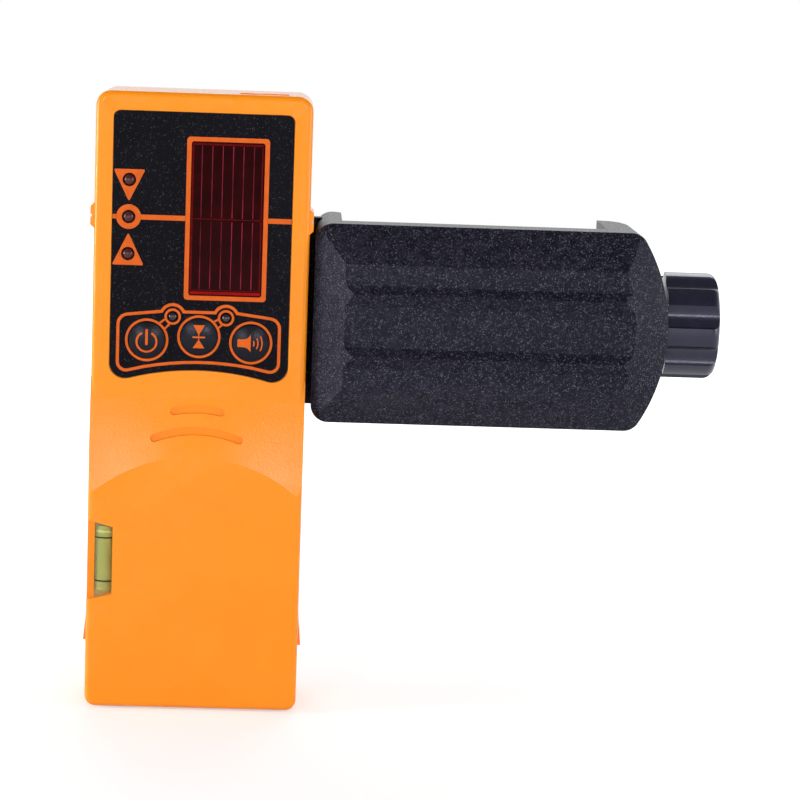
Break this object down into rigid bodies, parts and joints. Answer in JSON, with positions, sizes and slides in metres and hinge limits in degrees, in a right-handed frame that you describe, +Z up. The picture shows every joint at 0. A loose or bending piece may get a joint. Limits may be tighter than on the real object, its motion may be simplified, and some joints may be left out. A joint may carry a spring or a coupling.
{
  "type": "laser receiver with staff clamp",
  "caption": "Hand-held laser receiver with sensor window, grade lights, keys and edge vial, fastened to a screw clamp that grips a levelling staff.",
  "frame": {"origin": "centre of the fixed jaw's pad face, where a staff is clamped", "axes": "+X to the right towards the clamp knob, out of the pad face; +Y to the back; +Z up along the staff"},
  "size_m": [0.164, 0.046, 0.1602],
  "materials": {
    "orange_plastic": "fine moulded grain, satin",
    "black_plastic": "coarse spark-eroded grain",
    "knob_plastic": "semi-gloss smooth",
    "panel_print": "textured polyester overlay with orange print",
    "window_red": "deep red filter, ribbed behind",
    "light_lens": "tinted clear lens",
    "key_rubber": "satin dome with printed symbol",
    "rubber_black": "matt",
    "steel": "zinc plated",
    "brass": "machined",
    "board_green": "solder mask",
    "component_black": "moulded",
    "vial_clear": "clear acrylic",
    "vial_green": "yellow-green liquid",
    "battery_case": "wrapped cell block"
  },
  "bodies": {
    "housing": {"front_shell": "orange_plastic", "rear_shell": "orange_plastic", "case_seal": "rubber_black", "panel_overlay": "panel_print", "sensor_window": "window_red", "photodiodes": "component_black", "main_board": "board_green", "board_screws": "steel", "light_high": "light_lens", "light_on_grade": "light_lens", "light_low": "light_lens", "status_light_power": "light_lens", "status_light_accuracy": "light_lens", "key_switches": "component_black", "beeper": "component_black", "vial_tube": "vial_clear", "vial_fluid": "vial_green", "battery": "battery_case", "battery_snap": "component_black", "case_screws": "steel", "thread_insert": "brass", "clamp_frame": "black_plastic", "clamp_cover": "black_plastic", "fixed_jaw_pad": "rubber_black", "clamp_nut": "brass"},
    "key_power": {"power_key": "key_rubber"},
    "key_accuracy": {"accuracy_key": "key_rubber"},
    "key_sound": {"sound_key": "key_rubber"},
    "door": {"battery_door": "orange_plastic"},
    "jaw": {"moving_jaw": "black_plastic", "moving_jaw_pad": "rubber_black", "jaw_glide": "knob_plastic"},
    "knob": {"clamp_screw": "steel", "screw_clip": "steel", "clamp_knob": "knob_plastic"},
    "lock_ring": {"lock_clip": "steel"},
    "lock_hand_screw": {"lock_knob": "knob_plastic", "lock_stud": "steel"}
  },
  "joints": [
    {"name": "power_key_press", "type": "slide", "parent": "housing", "child": "key_power", "axis": [0, 1, 0], "range_m": [0, 0.0005], "stiffness_N_per_m": 1500},
    {"name": "accuracy_key_press", "type": "slide", "parent": "housing", "child": "key_accuracy", "axis": [0, 1, 0], "range_m": [0, 0.0005], "stiffness_N_per_m": 1500},
    {"name": "sound_key_press", "type": "slide", "parent": "housing", "child": "key_sound", "axis": [0, 1, 0], "range_m": [0, 0.0005], "stiffness_N_per_m": 1500},
    {"name": "battery_door_swing", "type": "hinge", "parent": "housing", "child": "door", "pos_m": [-0.03685, 0.0014, -0.0969], "axis": [-1, 0, 0], "range_deg": [0, 90]},
    {"name": "jaw_slide", "type": "slide", "parent": "housing", "child": "jaw", "axis": [1, 0, 0], "range_m": [0, 0.04]},
    {"name": "knob_turn", "type": "hinge", "parent": "jaw", "child": "knob", "pos_m": [0.09, -0.0025, 0], "axis": [1, 0, 0], "range_deg": [0, 3600]},
    {"name": "lock_slide", "type": "slide", "parent": "housing", "child": "lock_ring", "axis": [0, 1, 0], "range_m": [0, 0.00508]},
    {"name": "lock_turn", "type": "hinge", "parent": "lock_ring", "child": "lock_hand_screw", "pos_m": [-0.03685, 0, 0], "axis": [0, 1, 0], "range_deg": [0, 1440]}
  ],
  "couplings": [
    {"joint": "knob_turn", "follows": "jaw_slide", "rad_per_m": 1570.8},
    {"joint": "lock_turn", "follows": "lock_slide", "rad_per_m": 4947.4}
  ]
}
